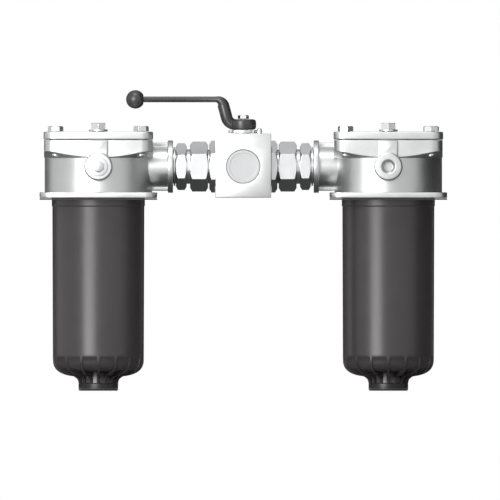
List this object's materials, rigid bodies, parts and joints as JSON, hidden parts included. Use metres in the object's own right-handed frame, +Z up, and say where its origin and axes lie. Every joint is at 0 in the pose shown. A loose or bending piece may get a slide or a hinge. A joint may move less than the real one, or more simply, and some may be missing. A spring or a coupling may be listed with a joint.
{
  "type": "duplex return line filter",
  "caption": "Duplex tank-top return line filter with ribbed bowls, joined by a lever-operated changeover valve",
  "frame": {"origin": "centre of the base: on the floor plane under the bowl outlets, midway along and across the object", "axes": "+X along the row of two filters to the right, -Y towards the viewer of the picture, +Z up along the bowls"},
  "size_m": [0.4076, 0.1334, 0.3007],
  "materials": {
    "cast_aluminium": "die cast and shot blasted, machined on the joint faces",
    "zinc_plated_steel": "turned or forged steel, bright zinc plated",
    "machined_block": "milled block, bright with fine cutter marks",
    "black_nylon": "injection moulded glass-filled nylon, satin",
    "glass_filled_cap_nylon": "injection moulded glass-filled nylon",
    "black_enamel": "forged steel under semi-gloss black enamel",
    "black_phenolic": "compression moulded and polished phenolic",
    "nitrile_rubber": "moulded nitrile rubber, matte",
    "filter_paper": "pleated resin-treated filter paper",
    "perforated_core_steel": "tin-plated sheet steel tube",
    "ptfe": "turned PTFE",
    "grey_polyethylene": "moulded polyethylene, satin",
    "spring_steel": "cold coiled spring wire, oiled"
  },
  "bodies": {
    "housing": {"adaptor_seal_left": "nitrile_rubber", "adaptor_seal_right": "nitrile_rubber", "bleed_plug_left": "zinc_plated_steel", "bleed_plug_right": "zinc_plated_steel", "bowl_left": "black_nylon", "bowl_oring_left": "nitrile_rubber", "bowl_oring_right": "nitrile_rubber", "bowl_right": "black_nylon", "bypass_cage_left": "glass_filled_cap_nylon", "bypass_cage_right": "glass_filled_cap_nylon", "bypass_spring_left": "spring_steel", "bypass_spring_right": "spring_steel", "cover_bolt_left_1": "zinc_plated_steel", "cover_bolt_left_2": "zinc_plated_steel", "cover_bolt_left_3": "zinc_plated_steel", "cover_bolt_left_4": "zinc_plated_steel", "cover_bolt_right_1": "zinc_plated_steel", "cover_bolt_right_2": "zinc_plated_steel", "cover_bolt_right_3": "zinc_plated_steel", "cover_bolt_right_4": "zinc_plated_steel", "cover_left": "cast_aluminium", "cover_oring_left": "nitrile_rubber", "cover_oring_right": "nitrile_rubber", "cover_right": "cast_aluminium", "element_bottom_cap_left": "glass_filled_cap_nylon", "element_bottom_cap_right": "glass_filled_cap_nylon", "element_core_left": "perforated_core_steel", "element_core_right": "perforated_core_steel", "element_media_left": "filter_paper", "element_media_right": "filter_paper", "element_top_cap_left": "glass_filled_cap_nylon", "element_top_cap_right": "glass_filled_cap_nylon", "filter_adaptor_left": "zinc_plated_steel", "filter_adaptor_right": "zinc_plated_steel", "flange_gasket_left": "nitrile_rubber", "flange_gasket_right": "nitrile_rubber", "head_left": "cast_aluminium", "head_right": "cast_aluminium", "hold_down_spring_left": "spring_steel", "hold_down_spring_right": "spring_steel", "inlet_plug": "grey_polyethylene", "port_plug_left": "zinc_plated_steel", "port_plug_right": "zinc_plated_steel", "stem_oring": "nitrile_rubber", "stop_pin": "zinc_plated_steel", "union_nut_left": "zinc_plated_steel", "union_nut_right": "zinc_plated_steel", "valve_adaptor_left": "zinc_plated_steel", "valve_adaptor_right": "zinc_plated_steel", "valve_body": "machined_block", "valve_seat_left": "ptfe", "valve_seat_right": "ptfe"},
    "spindle": {"valve_ball": "machined_block", "valve_stem": "zinc_plated_steel", "stop_plate": "zinc_plated_steel", "lever": "black_enamel", "knob": "black_phenolic", "lever_screw": "zinc_plated_steel"},
    "bypass_left": {"bypass_poppet_left": "glass_filled_cap_nylon"},
    "bypass_right": {"bypass_poppet_right": "glass_filled_cap_nylon"}
  },
  "joints": [
    {"name": "lever_turn", "type": "hinge", "parent": "housing", "child": "spindle", "pos_m": [0, 0, 0.2573], "axis": [0, 0, 1], "range_deg": [0, 90]},
    {"name": "bypass_left_open", "type": "slide", "parent": "housing", "child": "bypass_left", "axis": [0, 0, -1], "range_m": [0, 0.005], "stiffness_N_per_m": 2500, "springref_m": -0.008, "deforming": ["bypass_spring_left"]},
    {"name": "bypass_right_open", "type": "slide", "parent": "housing", "child": "bypass_right", "axis": [0, 0, -1], "range_m": [0, 0.005], "stiffness_N_per_m": 2500, "springref_m": -0.008, "deforming": ["bypass_spring_right"]}
  ]
}
